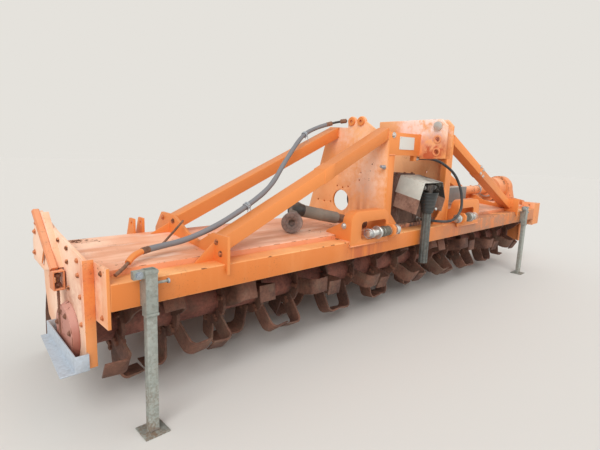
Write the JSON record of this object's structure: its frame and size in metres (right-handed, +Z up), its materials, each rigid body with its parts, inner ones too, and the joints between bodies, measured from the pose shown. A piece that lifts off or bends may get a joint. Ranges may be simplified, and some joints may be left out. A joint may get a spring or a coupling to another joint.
{
  "type": "rotary tiller",
  "caption": "Wide rotary tiller for a three-point linkage, in faded orange paint with rust, parked on its stands with its levelling board down.",
  "frame": {"origin": "on the floor under the middle of the machine's bounding box", "axes": "+X along the width towards the machine's side drive case, -Y towards the tractor, +Z up"},
  "size_m": [4.35, 1.053, 1.288],
  "materials": {
    "black_plastic": "dull black",
    "blade_steel": "soil-worn steel with light rust",
    "bright_pin": "worn bright steel",
    "cast_iron": "rough casting, rusted",
    "galvanised": "dull zinc grey",
    "hose_sheath": "grey-black woven sheath",
    "machine_orange": "sun-faded bright orange paint, worn and lightly rusted at the edges",
    "pale_paint": "chalky cream and grey paint",
    "rusty_steel": "bare steel rusted brown"
  },
  "bodies": {
    "chassis": {"beam_caps": "machine_orange", "bearing_guard_left": "machine_orange", "board_knuckles": "rusty_steel", "board_strut_ears": "machine_orange", "brace_front_left": "machine_orange", "brace_front_right": "machine_orange", "brace_rear_left": "machine_orange", "brace_rear_right": "machine_orange", "brace_rib_left": "machine_orange", "brace_rib_right": "machine_orange", "drive_hub_guard": "machine_orange", "end_plate_left": "machine_orange", "end_plate_right": "machine_orange", "front_beam": "machine_orange", "gearbox": "cast_iron", "gearbox_shield": "pale_paint", "headstock_crosshead": "machine_orange", "headstock_plate_left": "machine_orange", "headstock_plate_right": "machine_orange", "headstock_posts": "machine_orange", "hitch_bracket_left": "machine_orange", "hitch_bracket_right": "machine_orange", "hitch_pins": "bright_pin", "hood_deck": "machine_orange", "hydraulic_hose": "hose_sheath", "input_shaft": "rusty_steel", "lateral_drive_cover": "pale_paint", "lateral_drive_guard": "pale_paint", "loop_hose": "black_plastic", "loose_drive_shaft": "rusty_steel", "mast_plate_left": "machine_orange", "mast_plate_right": "machine_orange", "rotor_bearings": "cast_iron", "side_drive_case": "machine_orange", "skid_left": "galvanised", "stand_sleeve_left": "galvanised", "stand_sleeve_right": "galvanised", "top_link_pin": "bright_pin"},
    "drive_shaft": {"hanging_drive_shaft": "rusty_steel", "shaft_guard_cone": "black_plastic"},
    "board": {"levelling_board": "rusty_steel"},
    "rotor": {"rotor_blades": "blade_steel", "rotor_shaft": "rusty_steel"},
    "stand_left": {"stand_leg_left": "galvanised"},
    "stand_right": {"stand_leg_right": "galvanised"}
  },
  "joints": [
    {"name": "rotor_spin", "type": "hinge", "parent": "chassis", "child": "rotor", "pos_m": [0, -0.0915, 0.33], "axis": [1, 0, 0], "continuous": true},
    {"name": "stand_left_slide", "type": "slide", "parent": "chassis", "child": "stand_left", "axis": [0, 0, 1], "range_m": [0, 0.36]},
    {"name": "stand_right_slide", "type": "slide", "parent": "chassis", "child": "stand_right", "axis": [0, 0, 1], "range_m": [0, 0.36]},
    {"name": "board_swing", "type": "hinge", "parent": "chassis", "child": "board", "pos_m": [0, 0.3995, 0.492], "axis": [1, 0, 0], "range_deg": [0, 60]},
    {"name": "drive_shaft_swing", "type": "hinge", "parent": "chassis", "child": "drive_shaft", "pos_m": [-0.05, -0.4425, 0.862], "axis": [-1, 0, 0], "range_deg": [0, 80]}
  ]
}
